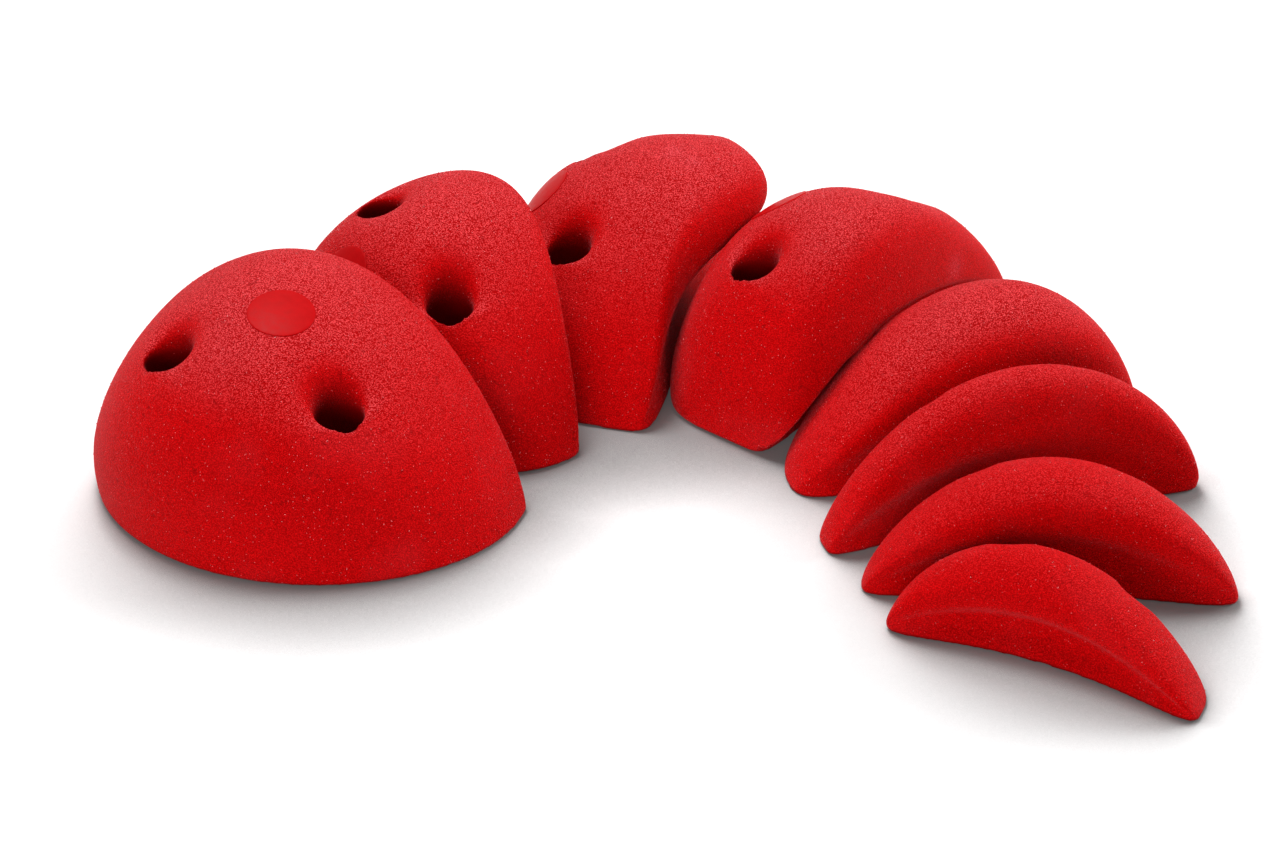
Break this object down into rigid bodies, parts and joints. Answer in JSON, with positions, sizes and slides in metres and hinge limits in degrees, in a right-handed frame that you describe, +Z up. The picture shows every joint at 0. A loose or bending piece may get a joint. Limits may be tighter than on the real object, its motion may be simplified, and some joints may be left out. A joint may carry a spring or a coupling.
{
  "type": "jug climbing hold",
  "caption": "Set of red resin climbing holds nested in an arch: sculpted jugs with an overhanging lip, finger pocket and flared screw counterbores, and thin crescent edges.",
  "frame": {"origin": "centre of the set's footprint, on the plane of the flat backs", "axes": "+X to the right and +Y away from the viewer of the picture, +Z up out of the backs; the arch is open towards -Y"},
  "size_m": [0.3472, 0.2872, 0.07],
  "materials": {
    "resin": "gritty cast polyurethane resin, matt",
    "washer_steel": "plain zinc-plated steel"
  },
  "bodies": {
    "root": {"jug_1": "resin", "jug_1_washer_left": "washer_steel", "jug_1_washer_right": "washer_steel", "jug_2": "resin", "jug_2_washer_left": "washer_steel", "jug_2_washer_right": "washer_steel", "jug_3": "resin", "jug_3_washer_left": "washer_steel", "jug_3_washer_right": "washer_steel", "jug_4": "resin", "jug_4_washer_left": "washer_steel", "jug_4_washer_right": "washer_steel", "edge_1": "resin", "edge_1_washer_left": "washer_steel", "edge_1_washer_right": "washer_steel", "edge_2": "resin", "edge_2_washer_left": "washer_steel", "edge_2_washer_right": "washer_steel", "edge_3": "resin", "edge_3_washer_left": "washer_steel", "edge_3_washer_right": "washer_steel", "edge_4": "resin", "edge_4_washer_left": "washer_steel", "edge_4_washer_right": "washer_steel"}
  },
  "joints": []
}
